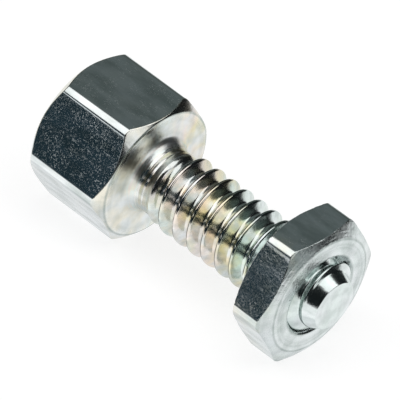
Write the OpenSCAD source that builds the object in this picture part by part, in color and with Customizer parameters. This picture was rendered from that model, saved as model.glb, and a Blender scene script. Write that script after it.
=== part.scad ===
// Connector screw lock: a hex head with a threaded socket in its outer end, a threaded stud, and a hex nut.
// It lies as it comes to rest: the stud points along +X, and a flat of the head and one of the nut face down.
// The origin is on the stud's axis, in the plane of the shoulder that seats on the panel.

/* [Hexagon] */
// Width across the flats of the head and of the nut
hex_flats = 4.76; // [4.5:0.02:6]
// Rounding of the long edges of the drawn hexagon bar
hex_edge_round = 0.4; // [0.1:0.05:0.6]

/* [Head] */
// Length of the head, from the shoulder to the socket end
head_len = 3.4; // [3:0.1:6]
// Diameter of the flat ring left on each end of the head
head_face_d = 4.67; // [4.2:0.01:4.7]
// Slope of the head's end chamfers against its end faces
head_chamfer_angle = 42; // [20:1:50]

/* [Socket] */
// Diameter of the socket before its thread is cut
socket_d = 2.28; // [2.1:0.01:2.4]
// Depth of the socket's straight wall, from the mouth
socket_depth = 2.5; // [1.5:0.1:2.8]
// Width of the countersink at a thread's mouth, in the socket and in the nut
mouth_d = 3; // [2.95:0.01:3.2]
// Full angle of the drilled bottom
drill_point_angle = 118; // [90:1:140]

/* [Stud] */
// Length of the stud, from the shoulder to its tip
stud_len = 8.1; // [6:0.1:16]
// Diameter over the thread's crests
thread_d = 2.75; // [2.69:0.01:2.84]
// Advance of the thread in one turn
thread_pitch = 0.635; // [0.5:0.005:0.75]
// Place along the stud, from the shoulder, where the thread's crest first comes to the top
thread_start = 0.08; // [0:0.01:0.3]
// Width of the flat left on the crest
crest_w = 0.08; // [0.04:0.01:0.12]
// Depth of the thread's groove under the crests
thread_depth = 0.345; // [0.3:0.005:0.39]
// Diameter of the plain neck under the head
neck_d = 2.4; // [2.3:0.01:2.6]
// Length of the plain neck
neck_len = 0.6; // [0.42:0.01:1]
// Radius of the fillet between the shoulder and the neck
neck_fillet = 0.4; // [0.1:0.05:0.4]
// Number of turns in which the thread rises out of the neck
runout_turns = 1; // [0.5:0.1:2]
// Diameter of the flat on the tip
tip_d = 1.75; // [1.4:0.05:2]
// Slope of the tip's cone against the axis
tip_cone_angle = 25.5; // [20:0.5:45]
// Height of the cone's wide end over the bottom of the thread's groove
tip_base_step = 0.04; // [0.02:0.01:0.15]
// Slope of the last turn's cut-off end against the axis
thread_end_angle = 60; // [40:1:75]

/* [Nut] */
// Thickness of the nut
nut_t = 1.59; // [1.4:0.01:2.4]
// Diameter of the flat ring on each face of the nut
nut_face_d = 4.24; // [4:0.01:4.7]
// Slope of the nut's chamfers against its faces
nut_chamfer_angle = 27; // [15:1:45]
// How far the stud's tip stands out of the nut
tip_out = 0.65; // [0:0.05:2]
// Gap between the thread's crests and the wall of the nut
thread_clear = 0.045; // [0.02:0.005:0.1]
// Slope of a mouth's countersink against the axis
mouth_angle = 45; // [30:1:60]

/* [Hidden] */

// Extra length of a cutting or enclosing shape past the face that it crosses
past = 0.2;
// Depth by which the thread's first turn is sunk under the skin of the neck
sunk = 0.02;

hex_sides = 6;
hex_corner_r = hex_flats / 2 / cos(180 / hex_sides);
// Facets on each half of a rounded long edge
edge_steps = 4;
edge_centre_r = hex_corner_r - hex_edge_round / cos(180 / hex_sides);

crest_r = thread_d / 2;
root_r = crest_r - thread_depth;
neck_r = neck_d / 2;
nut_bore_d = thread_d + 2 * thread_clear;

// The groove's two flanks lean 30 degrees, so their height sets how far along the stud they reach
flank_w = thread_depth * tan(30);
root_w = thread_pitch - crest_w - 2 * flank_w;
ridge_middle = root_w + flank_w + crest_w / 2;
// One pitch of the thread, from groove to groove: place along the stud, and height from 0 at the root to 1
profile = [[0, 0], [root_w, 0], [root_w + flank_w, 1], [root_w + flank_w + crest_w, 1]];
corners = len(profile);
// The ridge comes to the top half a turn after the thread's lower end, which is hidden in the head
thread_from = thread_start - ridge_middle - thread_pitch / 2;
thread_turns = ceil((stud_len - thread_from) / thread_pitch) + 1;
turn_steps = 30;
thread_steps = thread_turns * turn_steps;

nut_from = stud_len - tip_out - nut_t;

$fn = 96;

// Outline of the drawn hexagon bar, with two flats square to X and its edges rounded
module hex_outline() {
    half_turn = 180 / hex_sides;
    polygon([
        for (side = [0 : hex_sides - 1], step = [-edge_steps : edge_steps])
            let (corner = (2 * side + 1) * half_turn, normal = corner + half_turn * step / edge_steps)
                edge_centre_r * [cos(corner), sin(corner)] + hex_edge_round * [cos(normal), sin(normal)]
    ]);
}

// A length of hexagon bar with both ends turned to a cone, standing on its end face
module turned_hex(length, face_d, chamfer_angle) {
    reach = hex_corner_r - face_d / 2;
    depth = reach * tan(chamfer_angle);
    intersection() {
        linear_extrude(length)
            hex_outline();
        rotate_extrude()
            polygon([
                [0, 0], [face_d / 2, 0], [hex_corner_r, depth],
                [hex_corner_r, length - depth], [face_d / 2, length], [0, length]
            ]);
    }
}

// Cutter for a thread's countersunk mouth: it opens upward and ends in the plane z = 0
module mouth(bore_d) {
    depth = (mouth_d - bore_d) / 2 / tan(mouth_angle);
    lip = past * tan(mouth_angle);
    translate([0, 0, -depth])
        cylinder(h = depth + past, d1 = bore_d, d2 = mouth_d + 2 * lip);
}

// Cutter for the drilled and tapped socket, opening downward in the head's end face
module socket() {
    point = socket_d / 2 / tan(drill_point_angle / 2);
    translate([0, 0, -head_len]) {
        translate([0, 0, -past])
            cylinder(h = socket_depth + past, d = socket_d);
        translate([0, 0, socket_depth])
            cylinder(h = point, d1 = socket_d, d2 = 0);
        mirror([0, 0, 1])
            mouth(socket_d);
    }
}

// Share of its full height that the thread has after some steps: it rises out of the neck
function risen(step) =
    let (ridge = thread_from + ridge_middle + thread_pitch * step / turn_steps)
        max(0, min(1, (ridge - neck_len) / (runout_turns * thread_pitch)));

// A corner of the thread's profile, carried round the stud by some steps
function thread_corner(step, k) =
    let (
        angle = 360 * step / turn_steps,
        full_r = root_r + profile[k][1] * thread_depth,
        start_r = neck_r - sunk,
        r = start_r + risen(step) * (full_r - start_r),
        z = thread_from + thread_pitch * step / turn_steps + profile[k][0]
    ) [r * cos(angle), r * sin(angle), z];

// Place in the list of points: the last corner of a turn is the first corner of the turn above it
function thread_index(step, k) =
    k == corners ? thread_index(step + turn_steps, 0)
    : step <= thread_steps ? corners * step + k
    : corners * (thread_steps + 1) + step - thread_steps - 1;

// Rod with the whole thread on it: one profile swept along a helix, both ends closed to a point on the axis
module threaded_rod() {
    points = [
        for (step = [0 : thread_steps], k = [0 : corners - 1]) thread_corner(step, k),
        for (step = [1 : turn_steps]) thread_corner(thread_steps + step, 0),
        [0, 0, thread_from + thread_pitch / 2],
        [0, 0, thread_from + thread_pitch * (thread_turns + 0.5)]
    ];
    low_end = len(points) - 2;
    high_end = len(points) - 1;
    skin = [
        for (step = [0 : thread_steps - 1], k = [0 : corners - 1])
            let (
                a = thread_index(step, k), b = thread_index(step + 1, k),
                c = thread_index(step + 1, k + 1), d = thread_index(step, k + 1)
            ) each [[a, c, b], [a, d, c]]
    ];
    low_rim = [
        for (step = [0 : turn_steps]) thread_index(step, 0),
        for (k = [corners - 1 : -1 : 1]) thread_index(0, k)
    ];
    high_rim = [
        for (k = [0 : corners - 1]) thread_index(thread_steps, k),
        for (step = [turn_steps : -1 : 1]) thread_index(thread_steps + step, 0)
    ];
    low_cap = [for (n = [0 : len(low_rim) - 1]) [low_end, low_rim[n], low_rim[(n + 1) % len(low_rim)]]];
    high_cap = [for (n = [0 : len(high_rim) - 1]) [high_end, high_rim[n], high_rim[(n + 1) % len(high_rim)]]];
    polyhedron(points = points, faces = concat(skin, low_cap, high_cap));
}

// Space that the stud keeps to: a bar wider than the crests, with a steep end and then the cone of the tip
module stud_space() {
    bar_r = crest_r + past;
    base_r = root_r + tip_base_step;
    cone_from = stud_len - (base_r - tip_d / 2) / tan(tip_cone_angle);
    bar_to = cone_from - (bar_r - base_r) / tan(thread_end_angle);
    rotate_extrude()
        polygon([
            [0, thread_from - past], [bar_r, thread_from - past], [bar_r, bar_to],
            [base_r, cone_from], [tip_d / 2, stud_len], [0, stud_len]
        ]);
}

// Plain neck with its fillet, reaching down into the head
module neck() {
    rotate_extrude() {
        translate([0, -past])
            square([neck_r, past + neck_len]);
        difference() {
            translate([neck_r / 2, -past])
                square([neck_r / 2 + neck_fillet, past + neck_fillet]);
            translate([neck_r + neck_fillet, neck_fillet])
                circle(r = neck_fillet);
        }
    }
}

// Head and stud, turned from one bar
module screw_lock_body() {
    color("silver")
        rotate([0, 90, 0])
            difference() {
                union() {
                    translate([0, 0, -head_len])
                        turned_hex(head_len, head_face_d, head_chamfer_angle);
                    neck();
                    intersection() {
                        threaded_rod();
                        stud_space();
                    }
                }
                socket();
            }
}

// Nut, run onto the stud until the tip stands out of it
module hex_nut() {
    color("lightgray")
        rotate([0, 90, 0])
            translate([0, 0, nut_from])
                difference() {
                    turned_hex(nut_t, nut_face_d, nut_chamfer_angle);
                    translate([0, 0, -past])
                        cylinder(h = nut_t + 2 * past, d = nut_bore_d);
                    translate([0, 0, nut_t])
                        mouth(nut_bore_d);
                    mirror([0, 0, 1])
                        mouth(nut_bore_d);
                }
}

screw_lock_body();
hex_nut();
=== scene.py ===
import math

import bmesh
import bpy
import numpy as np
from mathutils import Matrix, Vector


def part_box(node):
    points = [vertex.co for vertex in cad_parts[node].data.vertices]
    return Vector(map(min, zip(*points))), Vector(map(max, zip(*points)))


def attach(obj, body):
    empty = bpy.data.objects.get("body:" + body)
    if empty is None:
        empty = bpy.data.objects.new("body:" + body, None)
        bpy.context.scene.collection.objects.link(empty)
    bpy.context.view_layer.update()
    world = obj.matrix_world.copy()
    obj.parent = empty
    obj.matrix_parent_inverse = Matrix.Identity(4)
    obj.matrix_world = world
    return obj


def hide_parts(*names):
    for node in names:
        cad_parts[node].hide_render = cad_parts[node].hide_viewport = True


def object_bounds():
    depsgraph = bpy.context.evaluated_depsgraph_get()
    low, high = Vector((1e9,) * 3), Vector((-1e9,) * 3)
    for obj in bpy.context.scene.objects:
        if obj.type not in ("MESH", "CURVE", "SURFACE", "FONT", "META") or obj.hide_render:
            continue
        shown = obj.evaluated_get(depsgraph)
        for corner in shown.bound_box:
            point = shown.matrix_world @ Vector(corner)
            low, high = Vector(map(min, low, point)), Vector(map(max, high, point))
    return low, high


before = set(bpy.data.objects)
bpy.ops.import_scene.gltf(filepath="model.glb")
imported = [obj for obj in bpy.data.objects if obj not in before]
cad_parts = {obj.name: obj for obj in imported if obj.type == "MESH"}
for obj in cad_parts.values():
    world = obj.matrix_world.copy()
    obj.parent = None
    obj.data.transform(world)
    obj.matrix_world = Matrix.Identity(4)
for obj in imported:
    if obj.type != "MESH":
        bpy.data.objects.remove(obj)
cad_low, cad_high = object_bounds()

# Screw lock body: a hexagon head with a tapped socket, a short plain neck and a threaded stud.
# It is turned in one piece from drawn steel bar, its thread is rolled, and it is zinc plated bright.
# The long edges of the head keep the rounding of the drawn bar, and both ends are chamfered.
MM = 0.001
body_low, body_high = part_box("screw_lock_body")
head_x = body_low.x
tip_x = body_high.x
DRAWN, TURNED, ROLLED = range(3)

# The drawn bar: its flats are very slightly crowned
half_flats = (body_high.z - body_low.z) / 2
bar_edge_round = 0.4 * MM
bar_crown = 0.006 * MM
HEX_SIDES = 6
EDGE_COLUMNS = 12
FLAT_COLUMNS = 18

# Every piece has the same columns of points round its axis, close together on the bar's rounded edges
sector = 2 * math.pi / HEX_SIDES
edge_centre_r = (half_flats - bar_edge_round) / math.cos(sector / 2)
edge_start = math.atan2(edge_centre_r * math.sin(sector / 2), half_flats)
edge_angles = np.linspace(edge_start, sector - edge_start, EDGE_COLUMNS, endpoint=False)
flat_shares = (1 - np.cos(np.linspace(0, math.pi, FLAT_COLUMNS, endpoint=False))) / 2
flat_angles = sector - edge_start + 2 * edge_start * flat_shares
sector_angles = np.concatenate([edge_angles, flat_angles])
columns = np.concatenate([side * sector + sector_angles for side in range(HEX_SIDES)])

# The bar's radius at each column
from_flat = np.abs((columns + sector / 2) % sector - sector / 2)
from_edge = from_flat - sector / 2
bar_arc = np.sqrt(np.maximum(bar_edge_round**2 - (edge_centre_r * np.sin(from_edge))**2, 0))
bar_edge_r = edge_centre_r + bar_edge_round
bar_r = np.where(
    from_flat > edge_start, edge_centre_r * np.cos(from_edge) + bar_arc, half_flats / np.cos(from_flat)
) - bar_crown * np.minimum(1, np.tan(from_flat) / math.tan(edge_start))**2

# The stud's thread: the threads in the socket and in the nut have the same pitch and start
pitch = 0.635 * MM
thread_start = 0.08 * MM
crest_r = 1.375 * MM
root_r = 1.03 * MM
crest_flat = 0.09 * MM
flank = (crest_r - root_r) * math.tan(math.radians(30))
crest_ease = 0.12
root_ease = 0.2

# Rows across one pitch of a thread, from crest to crest, close together where the flanks begin and end
crest_edge = 0.9 * crest_flat
root_edge = crest_flat / 2 + 0.85 * flank
half_rows = np.concatenate([
    np.linspace(0, crest_edge, 6),
    np.linspace(crest_edge, root_edge, 4)[1:-1],
    np.linspace(root_edge, pitch / 2, 6),
])
thread_rows = np.concatenate([half_rows, pitch - half_rows[-2:0:-1]])
# The least distance between a row of a thread and the ring that ends it
row_gap = 0.006 * MM
# The share of a stretch between two eased corners that each of them may take
corner_share = 0.48


class TurnedSkin:
    """The closed surface of a turned piece, made of rings of points that share the same columns."""

    def __init__(self):
        self.points = []
        self.faces = []
        self.finishes = []

    def add(self, x, r, angle):
        """Add points at places along the axis, with their radii and angles, and give their numbers."""
        first = len(self.points)
        self.points.extend(np.column_stack([x, -r * np.sin(angle), r * np.cos(angle)]).tolist())
        return np.arange(first, len(self.points))

    def ring(self, x, r):
        """Add a ring round the axis. x and r are one value each, or one for every column."""
        return self.add(np.broadcast_to(x, columns.shape), np.broadcast_to(r, columns.shape), columns)

    def face(self, corners, finish):
        """Add a face, leaving out corners that fall together."""
        kept = list(dict.fromkeys(int(corner) for corner in corners))
        if len(kept) > 2:
            self.faces.append(kept)
            self.finishes.append(finish)

    def band(self, low, high, finish):
        """Join two rings."""
        for corners in zip(low, np.roll(low, -1), np.roll(high, -1), high):
            self.face(corners, finish)

    def cap(self, rim, x, finish):
        """Close a ring to a point on the axis."""
        self.points.append([x, 0, 0])
        for corners in zip(rim, np.roll(rim, -1)):
            self.face([*corners, len(self.points) - 1], finish)

    def line(self, start, corners, reaches, finishes, end=None, steps=5):
        """Run a band of rings along a meridian line whose inner corners are eased to arcs."""
        last = start
        for k in range(1, len(corners) - 1):
            back = corners[k - 1] - corners[k]
            ahead = corners[k + 1] - corners[k]
            back_len = np.linalg.norm(back, axis=1, keepdims=True)
            ahead_len = np.linalg.norm(ahead, axis=1, keepdims=True)
            # No other arc needs room on the last stretch
            ahead_room = ahead_len if k + 2 == len(corners) else corner_share * ahead_len
            room = np.minimum(corner_share * back_len, ahead_room)
            reach = np.minimum(np.reshape(reaches[k - 1], (-1, 1)), room)
            arc_from = corners[k] + back * reach / back_len
            arc_to = corners[k] + ahead * reach / ahead_len
            fold = np.sum(back / back_len * ahead / ahead_len, axis=1, keepdims=True)
            pull = np.sqrt((1 - fold) / 2)
            for share in np.linspace(0, 1, steps + 1):
                from_weight = (1 - share)**2
                corner_weight = 2 * share * (1 - share) * pull
                to_weight = share**2
                row = from_weight * arc_from + corner_weight * corners[k] + to_weight * arc_to
                row = row / (from_weight + corner_weight + to_weight)
                ring = self.ring(row[:, 0], row[:, 1])
                self.band(last, ring, finishes[k - 1] if share == 0 else TURNED)
                last = ring
        if end is None:
            end = self.ring(corners[-1][:, 0], corners[-1][:, 1])
        self.band(last, end, finishes[-1])
        return end

    def thread(self, low, high, radius, finish):
        """Wall between two rings, whose rows climb with the thread. radius gives its form at x and column."""
        x_low = self.points[low[0]][0]
        x_high = self.points[high[0]][0]
        first_turn = math.floor((x_low - thread_start) / pitch) - 1
        last_turn = math.ceil((x_high - thread_start) / pitch) + 1
        turn_starts = [thread_start + turn * pitch for turn in range(first_turn, last_turn)]
        rows = []
        for start in [turn_start + row for turn_start in turn_starts for row in thread_rows]:
            x = start + pitch * columns / (2 * math.pi)
            fresh = (x > x_low + row_gap) & (x < x_high - row_gap)
            places = np.where(x < (x_low + x_high) / 2, low, high)
            places[fresh] = self.add(x[fresh], radius(x, columns)[fresh], columns[fresh])
            rows.append(places)
        # Past the last column, a row goes on in the one that starts a turn further along
        a_turn = len(thread_rows)
        next_columns = [
            np.append(row[1:], rows[k + a_turn][0] if k + a_turn < len(rows) else high[0])
            for k, row in enumerate(rows)
        ]
        for k in range(len(rows) - 1):
            for corners in zip(rows[k], next_columns[k], next_columns[k + 1], rows[k + 1]):
                self.face(corners, finish)

    def piece(self, name, finishes):
        """The surface as an object, with one material for each finish."""
        mesh = bpy.data.meshes.new(name)
        mesh.from_pydata(self.points, [], self.faces)
        for finish in finishes:
            mesh.materials.append(finish)
        mesh.polygons.foreach_set("material_index", self.finishes)
        shell = bmesh.new()
        shell.from_mesh(mesh)
        bmesh.ops.recalc_face_normals(shell, faces=shell.faces)
        shell.to_mesh(mesh)
        shell.free()
        mesh.shade_smooth()
        made = bpy.data.objects.new(name, mesh)
        bpy.context.scene.collection.objects.link(made)
        made.modifiers.new("even_flats", "WEIGHTED_NORMAL")
        return made


def corner(x, r):
    """A corner of a meridian line, for every column."""
    return np.column_stack([np.broadcast_to(x, columns.shape), np.broadcast_to(r, columns.shape)])


def eased_low(a, b, ease):
    """The lower of two values, with the change between them eased."""
    share = np.clip(0.5 + 0.5 * (b - a) / ease, 0, 1)
    return b + (a - b) * share - ease * share * (1 - share)


def ridge(x, angle):
    """Height of the thread at a place, from 0 in the groove to 1 on the crest."""
    turns = (x - thread_start) / pitch - angle / (2 * math.pi)
    from_crest = np.abs(turns - np.round(turns)) * pitch
    height = 1 - (from_crest - crest_flat / 2) / flank
    return -eased_low(-eased_low(height, 1.0, crest_ease), 0.0, root_ease)


def smooth(share):
    """A share of the way from 0 to 1, eased at both ends."""
    share = np.clip(share, 0, 1)
    return share * share * (3 - 2 * share)


# The tapped socket: its thread runs out before the drilled bottom, and its mouth is countersunk
socket_r = 1.14 * MM
socket_groove = 0.24 * MM
socket_depth = 2.5 * MM
socket_runout = 0.5 * MM
drill_point = math.radians(118)
mouth_r = 1.5 * MM
mouth_ease = 0.03 * MM
lip = 0.1 * MM


def socket_radius(x, angle):
    """Radius of the socket's wall, with its thread and its countersunk mouth."""
    cut = smooth((head_x + socket_depth - x) / socket_runout)
    wall = socket_r + socket_groove * cut * ridge(x, angle)
    return -eased_low(-wall, -(mouth_r - (x - head_x)), mouth_ease)


skin = TurnedSkin()
socket_end = skin.ring(head_x + socket_depth, socket_r)
skin.cap(socket_end, head_x + socket_depth + socket_r / math.tan(drill_point / 2), TURNED)
socket_lip = skin.ring(head_x + lip, mouth_r - lip)
skin.thread(socket_lip, socket_end, socket_radius, ROLLED)

# The head and the neck: the chamfers' outer edges are worn a little unevenly
head_face_r = 2.335 * MM
head_chamfer = math.radians(42)
head_chamfer_len = (bar_r - head_face_r) * math.tan(head_chamfer)
neck_r = 1.2 * MM
neck_len = 0.6 * MM
neck_fillet = 0.4 * MM
crisp = 0.02 * MM
soft_edge = 0.07 * MM
burr = 0.02 * MM
rng = np.random.default_rng(4)


def worn(reach, spread):
    """The width of an eased edge, a little uneven from column to column."""
    return reach + spread * rng.random(columns.shape)


neck = skin.ring(neck_len, neck_r)
skin.line(
    socket_lip,
    [
        corner(head_x + lip, mouth_r - lip),
        corner(head_x, mouth_r),
        corner(head_x, head_face_r),
        corner(head_x + head_chamfer_len, bar_r),
        corner(-head_chamfer_len, bar_r),
        corner(0, head_face_r),
        corner(0, neck_r),
        corner(neck_len, neck_r),
    ],
    [crisp, soft_edge, worn(crisp, burr), worn(crisp, burr), soft_edge, neck_fillet],
    [TURNED, TURNED, TURNED, DRAWN, TURNED, TURNED, ROLLED],
    end=neck,
    steps=8,
)

# The stud: its thread rises out of the neck, and ends in a steep cut-off before the cone of the tip
thread_full_x = 1.3 * MM
thread_end = math.radians(60)
tip_r = 0.875 * MM
tip_base_r = root_r + 0.04 * MM
tip_cone = math.radians(25.5)
tip_ease = 0.03 * MM
cone_x = tip_x - (tip_base_r - tip_r) / math.tan(tip_cone)
tip_edge_x = tip_x - lip
tip_edge_r = tip_r + lip * math.tan(tip_cone)


def stud_radius(x, angle):
    """Radius of the stud, from the neck to the tip."""
    risen = smooth((x - neck_len) / (thread_full_x - neck_len))
    full = root_r + (crest_r - root_r) * ridge(x, angle)
    cone = tip_r + (tip_x - x) * math.tan(tip_cone)
    cut_off = tip_base_r + (cone_x - x) * math.tan(thread_end)
    return eased_low(neck_r + (full - neck_r) * risen, np.maximum(cone, cut_off), tip_ease)


tip_edge = skin.ring(tip_edge_x, tip_edge_r)
skin.thread(neck, tip_edge, stud_radius, ROLLED)
tip_rim = skin.line(
    tip_edge,
    [corner(tip_edge_x, tip_edge_r), corner(tip_x, tip_r), corner(tip_x, tip_r / 2)],
    [crisp],
    [ROLLED, TURNED],
)
skin.cap(tip_rim, tip_x, TURNED)


class Signal:
    """A socket of a shader. Arithmetic on it adds Math nodes, and node() adds any other kind."""

    def __init__(self, socket):
        self.socket = socket

    def node(self, kind, settings=None, inputs=None, output=0):
        """Add a node: first its settings, then the values or links of its sockets."""
        tree = self.socket.id_data
        made = tree.nodes.new(kind)
        for name, value in (settings or {}).items():
            if name == "stops":
                ramp = made.color_ramp.elements
                while len(ramp) < len(value):
                    ramp.new(0.5)
                for stop, (place, colour) in zip(ramp, value):
                    stop.position = place
                    stop.color = (*colour, 1)
            else:
                setattr(made, name, value)
        for name, value in (inputs or {}).items():
            if isinstance(value, Signal):
                tree.links.new(value.socket, made.inputs[name])
            else:
                made.inputs[name].default_value = value
        return Signal(made.outputs[output])

    def math(self, operation, first, second=0.0):
        """Add a Math node on one or two values."""
        return self.node("ShaderNodeMath", {"operation": operation}, {0: first, 1: second})

    def __add__(self, other):
        return self.math("ADD", self, other)

    def __radd__(self, other):
        return self.math("ADD", other, self)

    def __sub__(self, other):
        return self.math("SUBTRACT", self, other)

    def __rsub__(self, other):
        return self.math("SUBTRACT", other, self)

    def __mul__(self, other):
        return self.math("MULTIPLY", self, other)

    def __rmul__(self, other):
        return self.math("MULTIPLY", other, self)

    def __truediv__(self, other):
        return self.math("DIVIDE", self, other)

    def __rtruediv__(self, other):
        return self.math("DIVIDE", other, self)

    def __pow__(self, other):
        return self.math("POWER", self, other)

    def __rpow__(self, other):
        return self.math("POWER", other, self)

    def between(self, low, high):
        """0 below low, 1 above high, eased from one to the other."""
        return self.node(
            "ShaderNodeMapRange",
            {"interpolation_type": "SMOOTHSTEP"},
            {"Value": self, "From Min": low, "From Max": high},
        )

    def within(self, low, full_from, full_to, high):
        """1 between the two full values, eased to 0 at low and at high."""
        return self.between(low, full_from) * (1 - self.between(full_to, high))

    def mixed(self, first, second):
        """A colour between two, by this share."""
        return self.node("ShaderNodeMix", {"data_type": "RGBA"}, {0: self, 6: first, 7: second}, 2)

    def feeds(self, shader, name):
        """Link to a socket of a shader."""
        self.socket.id_data.links.new(self.socket, shader.inputs[name])


# The plate is bluish white where it is clean. The passivate film on it runs from straw through pink to green
clean_zinc = (0.81, 0.85, 0.86, 1)
dull_zinc = (0.33, 0.39, 0.37, 1)
pit_grey = (0.1, 0.1, 0.1, 1)
film_stops = [
    (0.0, (0.83, 0.80, 0.69)),
    (0.22, (0.83, 0.80, 0.68)),
    (0.30, (0.76, 0.84, 0.80)),
    (0.39, (0.85, 0.81, 0.67)),
    (0.47, (0.86, 0.78, 0.74)),
    (0.57, (0.87, 0.76, 0.62)),
    (0.67, (0.86, 0.78, 0.53)),
    (0.75, (0.79, 0.77, 0.56)),
    (0.83, (0.72, 0.82, 0.74)),
    (1.0, (0.78, 0.86, 0.84)),
]
film_shift = -0.2
# Rolling leaves a dark seam along the crests, a little off their middle
seam_grey = (0.06, 0.06, 0.05, 1)
seam_shift = 0.02 * MM
seam_w = 0.025 * MM
rim_w = 0.07 * MM
ring_steepness = 0.1
# A noise of height 1 is about as steep as this share of its grains in a millimetre
noise_steepness = 0.65


def zinc_plate(
    name, roughness, grain, grains, tint, mottle,
    lines=0.0, specks=0.0, polish=0.0, dull_and_shaded_rims=(), seam=0.0, shoulder_dull=0.0
):
    """Bright zinc plate. grain is the steepness of its fine grain, of which a millimetre has so many grains,
    tint and mottle tell how strongly the passivate and dull clouds show, lines is the steepness of the tool
    marks round the axis, specks is how rough the tiny specks are, polish how much smoother the crests are,
    dull_and_shaded_rims are the radii of darker rings on the end faces, dull plate at the faces' edges and
    painted shade at the nut's mouth, seam tells how dark the line is that rolling leaves along the crests,
    and shoulder_dull how much rougher the plate is under the head."""
    material = bpy.data.materials.new(name)
    material.use_nodes = True
    metal = material.node_tree.nodes["Principled BSDF"]
    metal.inputs["Metallic"].default_value = 1
    start = Signal(metal.outputs[0])

    # Places on the piece in millimetres: along its axis, out from it, and both together for the tool marks
    metres = start.node("ShaderNodeTexCoord", output="Object")
    place = start.node("ShaderNodeVectorMath", {"operation": "SCALE"}, {0: metres, "Scale": 1 / MM})
    parts = {
        axis: start.node("ShaderNodeSeparateXYZ", None, {"Vector": place}, axis) for axis in ("X", "Y", "Z")
    }
    along = parts["X"]
    out = (parts["Y"] * parts["Y"] + parts["Z"] * parts["Z"]) ** 0.5
    marks = start.node("ShaderNodeCombineXYZ", None, {"X": along, "Y": out})

    # Masks: inside the bar's long edges, on the crests, on the shoulder, on the fillet and the neck with its
    # tool rings, and on the +Y side of the first turns, which get painted shade: tinted and darker, for the
    # shaded table they reflect
    flat = 1 - out.between(0.97 * bar_edge_r / MM, 0.985 * bar_edge_r / MM)
    crest = out.between(0.95 * crest_r / MM, 0.985 * crest_r / MM)
    shoulder = along.within(-0.5, -0.4, 0.2, 0.4) * (1 - 0.75 * out.between(2.1, 2.28))
    ringed = along.within(0.02, 0.12, 0.7, 1.1)
    painted_shade_turns = along.within(0.5, 1.0, 1.8, 4.2) * parts["Y"].between(0.2, 0.8)

    def noise(scale, detail=2.0, spot=place):
        """Noise with so many grains in a millimetre."""
        return start.node("ShaderNodeTexNoise", None, {"Vector": spot, "Scale": scale, "Detail": detail})

    def relief(steepness, scale, detail, spot=place):
        """Height, in millimetres, of a noise that is so steep."""
        return noise(scale, detail, spot) * (steepness / noise_steepness / scale)

    # The film's colour drifts along and across the piece, and from ring to ring of the tool under the head.
    # On the +Y side of the first turns it drifts further and shows fully, as part of a painted shade
    drift = along * 0.11 + parts["Y"] * 0.14 + noise(0.55) * 0.8 + noise(2.5) * 0.25
    drift = drift + ringed * (noise(6.0, 2.0, marks) - 0.35) + painted_shade_turns * 0.06
    film = start.node("ShaderNodeValToRGB", {"stops": film_stops}, {"Fac": drift + film_shift})
    plate = (noise(1.4).between(0.25, 0.75) * tint + painted_shade_turns).mixed(clean_zinc, film)

    # Dull clouds are drawn out along the bar, and dull streaks follow the tool marks and the rims; the ring
    # round the nut's mouth is painted shade
    stretched = start.node("ShaderNodeVectorMath", {"operation": "MULTIPLY"}, {0: place, 1: (0.35, 1, 1)})
    # On the +Y side of the first turns the plate is darkened as well, as painted shade
    clouds = noise(2.2, 5.0, stretched).between(0.33, 0.72) * mottle + painted_shade_turns * 0.3
    clouds = clouds + noise(3.0, 4.0, marks).between(0.42, 0.66) * (8 * lines)
    for rim in dull_and_shaded_rims:
        clouds = clouds + 0.5 * out.within((rim - rim_w) / MM, rim / MM, rim / MM, (rim + rim_w) / MM)
    colour = clouds.mixed(plate, dull_zinc)

    if seam:
        angle = start.math("ARCTAN2", -1 * parts["Y"], parts["Z"])
        turns = (along - (thread_start - seam_shift) / MM) * (MM / pitch) - angle * (1 / (2 * math.pi))
        from_groove = start.math("ABSOLUTE", start.math("FRACT", turns) - 0.5)
        middle = from_groove.between(0.5 - seam_w / pitch, 0.5 - 0.3 * seam_w / pitch)
        fold = middle * crest * (seam * noise(4.0).between(0.25, 0.5))
        colour = fold.mixed(colour, seam_grey)

    # A few small pits, in patches
    pits = start.node("ShaderNodeTexVoronoi", None, {"Vector": place, "Scale": 1.7}, "Distance")
    pit = (1 - pits.between(0.025, 0.06)) * noise(0.9).between(0.52, 0.6)
    pit.mixed(colour, pit_grey).feeds(metal, "Base Color")

    speck_patches = 0.4 + 0.6 * noise(1.8, 4.0).between(0.34, 0.62)
    speck = noise(15.0, 4.0).between(0.45, 0.68) * speck_patches * flat
    even = roughness * (1 - polish * crest) * (0.8 + 0.4 * noise(3.0, 3.0))
    (even + specks * speck + 0.25 * pit + shoulder_dull * shoulder).feeds(metal, "Roughness")

    height = relief(grain, grains, 4.0) * flat + relief(lines, 9.0, 2.0, marks)
    height = height + ringed * relief(ring_steepness, 7.0, 1.0, marks)
    start.node("ShaderNodeBump", None, {"Distance": MM, "Height": height}).feeds(metal, "Normal")
    return material


screw_lock = skin.piece(
    "screw_lock",
    [
        zinc_plate(
            "drawn_zinc", roughness=0.1, grain=0.018, grains=9.0, tint=0.15, mottle=0.6, specks=0.22
        ),
        zinc_plate(
            "turned_zinc", roughness=0.15, grain=0.015, grains=8.0, tint=1.1, mottle=0.34,
            lines=0.012, dull_and_shaded_rims=(head_face_r,), shoulder_dull=0.15
        ),
        zinc_plate(
            "rolled_zinc", roughness=0.16, grain=0.015, grains=7.0, tint=1.8, mottle=0.52,
            polish=0.6, seam=0.9
        ),
    ],
)
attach(screw_lock, "lock_body")
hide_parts("screw_lock_body")

# Hexagon nut: a thin steel nut cut from the same size of bar, chamfered on both faces, tapped and plated.
# It is run onto the stud until the tip stands out, and its thread lies in the grooves of the stud.
nut_low, nut_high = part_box("hex_nut")
nut_face_r = 2.12 * MM
nut_chamfer = math.radians(27)
nut_chamfer_len = (bar_r - nut_face_r) * math.tan(nut_chamfer)
nut_bore_r = 1.14 * MM
nut_burr = 0.04 * MM
thread_gap = 0.035 * MM


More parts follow.
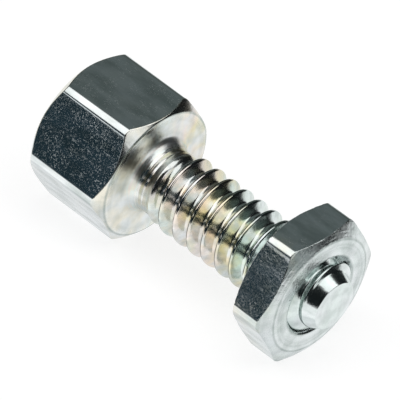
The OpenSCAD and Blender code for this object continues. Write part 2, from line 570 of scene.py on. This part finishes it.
def nut_radius(x, angle):
    """Radius of the nut's wall, with its thread and a countersunk mouth at each end."""
    groove = root_r + (crest_r - root_r) * ridge(x, angle) + thread_gap
    wall = -eased_low(-nut_bore_r, -groove, mouth_ease)
    from_face = np.minimum(x - nut_low.x, nut_high.x - x)
    return -eased_low(-wall, -(mouth_r - from_face), mouth_ease)


skin = TurnedSkin()
nut_back = skin.ring(nut_low.x + lip, mouth_r - lip)
nut_front = skin.ring(nut_high.x - lip, mouth_r - lip)
skin.thread(nut_back, nut_front, nut_radius, ROLLED)
skin.line(
    nut_back,
    [
        corner(nut_low.x + lip, mouth_r - lip),
        corner(nut_low.x, mouth_r),
        corner(nut_low.x, nut_face_r),
        corner(nut_low.x + nut_chamfer_len, bar_r),
        corner(nut_high.x - nut_chamfer_len, bar_r),
        corner(nut_high.x, nut_face_r),
        corner(nut_high.x, mouth_r),
        corner(nut_high.x - lip, mouth_r - lip),
    ],
    [crisp, soft_edge, worn(0, nut_burr), worn(0, nut_burr), soft_edge, crisp],
    [TURNED, TURNED, TURNED, DRAWN, TURNED, TURNED, TURNED],
    end=nut_front,
    steps=6,
)
nut = skin.piece(
    "nut",
    [
        zinc_plate(
            "drawn_nut_zinc", roughness=0.15, grain=0.035, grains=8.0, tint=0.4, mottle=0.6, specks=0.13
        ),
        zinc_plate(
            "turned_nut_zinc", roughness=0.27, grain=0.06, grains=7.0, tint=0.6, mottle=0.4,
            # the ring at mouth_r is painted shade round the nut's mouth
            lines=0.05, dull_and_shaded_rims=(nut_face_r, mouth_r)
        ),
        zinc_plate(
            "tapped_nut_zinc", roughness=0.2, grain=0.02, grains=7.0, tint=0.8, mottle=0.9, polish=0.6
        ),
    ],
)
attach(nut, "nut")
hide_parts("hex_nut")

# Table: a white light table that the piece lies on, wide enough to fill every view.
# It glows a little, so that the piece's shadow on it stays faint.
table_r = 0.4
table_grey = (0.35, 0.35, 0.35, 1)
table_glow = 0.82
table = bpy.data.objects.new("table", bpy.data.meshes.new("table"))
disc = bmesh.new()
bmesh.ops.create_circle(disc, cap_ends=True, segments=96, radius=table_r)
disc.to_mesh(table.data)
disc.free()
table.location.z = cad_low.z
bpy.context.scene.collection.objects.link(table)
white = bpy.data.materials.new("white_table")
white.use_nodes = True
sheet = white.node_tree.nodes["Principled BSDF"]
sheet.inputs["Base Color"].default_value = table_grey
sheet.inputs["Roughness"].default_value = 0.9
sheet.inputs["Emission Color"].default_value = (1, 1, 1, 1)
sheet.inputs["Emission Strength"].default_value = table_glow
table.data.materials.append(white)
table.visible_glossy = False

# Camera: a long lens on the side of the stud's tip, looking down on the piece, a little tilted.
# It stands far off, so that the piece is drawn with hardly any perspective.
azimuth = math.radians(38.95)
elevation = math.radians(41.17)
tilt = math.radians(8.43)
aim = Vector((1.986, 0.003, 0.265)) * MM
distance = 290.84 * MM
focal_px = 9000
image_px = 400
away = Vector((
    math.sin(azimuth) * math.cos(elevation), -math.cos(azimuth) * math.cos(elevation), math.sin(elevation)
))
camera = bpy.data.objects.new("camera", bpy.data.cameras.new("camera"))
camera.data.sensor_width = 36
camera.data.lens = focal_px * camera.data.sensor_width / image_px
camera.data.clip_start = distance / 10
camera.data.clip_end = distance * 10
level = (-away).to_track_quat("-Z", "Y").to_matrix().to_4x4()
camera.matrix_world = Matrix.Translation(aim + away * distance) @ level @ Matrix.Rotation(tilt, 4, "Z")
bpy.context.scene.collection.objects.link(camera)
bpy.context.scene.camera = camera

# Studio light: a wide soft box overhead, across the camera's view, with a low strip at the left and a soft
# fill at the right. Between them the room is dark, and from below shines the white table.
studio = bpy.data.worlds.new("studio")
bpy.context.scene.world = studio
studio.use_nodes = True
backdrop = studio.node_tree.nodes["Background"]
start = Signal(backdrop.outputs[0])
ray = start.node("ShaderNodeTexCoord", output="Generated")
way = {axis: start.node("ShaderNodeSeparateXYZ", None, {"Vector": ray}, axis) for axis in ("X", "Y", "Z")}
down = -1 * way["Z"]
near = -1 * way["Y"]


def toward(bearing, rise):
    """How closely a ray points to a bearing from +X and a rise above the horizon, both in degrees."""
    level_share = math.cos(math.radians(rise))
    x = level_share * math.cos(math.radians(bearing))
    y = level_share * math.sin(math.radians(bearing))
    return way["X"] * x + way["Y"] * y + way["Z"] * math.sin(math.radians(rise))


def glow(bearing, rise, reach, soft):
    """A round soft light: its reach and the width of its soft edge, in degrees."""
    outer = math.cos(math.radians(reach + soft / 2))
    inner = math.cos(math.radians(reach - soft / 2))
    return toward(bearing, rise).between(outer, inner)


def strip(value, low, high, soft):
    """A strip between two values, with soft edges."""
    return value.within(low - soft / 2, low + soft / 2, high - soft / 2, high + soft / 2)


# Where a ray meets a ceiling one unit up: to the right in the camera's view, and beyond the piece
climb = start.math("MAXIMUM", way["Z"], 0.02)
across = (way["X"] * math.cos(azimuth) + way["Y"] * math.sin(azimuth)) / climb
beyond = (way["Y"] * math.cos(azimuth) - way["X"] * math.sin(azimuth)) / climb
far_side = 0.15 * start.math("MAXIMUM", way["X"], 0.0) + 0.1 * start.math("MAXIMUM", way["Y"], 0.0)
lights = [
    # Dim walls: at the left, low and high behind the piece, and at the right
    (glow(-119, 8, 40, 24), (0.018, 0.035, 0.046)),
    (glow(122, 14, 24, 20), (0.085, 0.1, 0.095)),
    (glow(132, 46, 22, 16), (0.105, 0.126, 0.126)),
    (glow(12, -2, 11, 14), (0.24, 0.28, 0.28)),
    # The white table, brighter on the near side and a little shaded right under the piece
    ((down - far_side).between(-0.04, 0.1), (1.0, 1.0, 1.0)),
    (down.between(-0.02, 0.1) * near.between(0.25, 0.55), (1.14, 1.14, 1.14)),
    (down.between(0.7, 0.82), (0.85, 0.86, 0.87)),
    # The low strip, the fill and the soft box
    (strip(way["Z"], 0.285, 0.345, 0.02) * toward(-120, 0).between(0.8, 0.9), (1.1, 1.12, 1.15)),
    (glow(3, 26, 16, 8), (1.06, 1.06, 1.06)),
    (strip(across, -1.8, 1.3, 0.2) * strip(beyond, -0.45, 0.44, 0.12), (1.35, 1.35, 1.35)),
    # The plain white that the camera sees past the table
    (start.node("ShaderNodeLightPath", output="Is Camera Ray"), (0.95, 0.95, 0.95)),
]
room = (0.01, 0.012, 0.013, 1)
for share, colour in lights:
    room = share.mixed(room, (*colour, 1))
room.feeds(backdrop, "Color")

view = bpy.context.scene.view_settings
view.view_transform = "Standard"
view.look = "None"
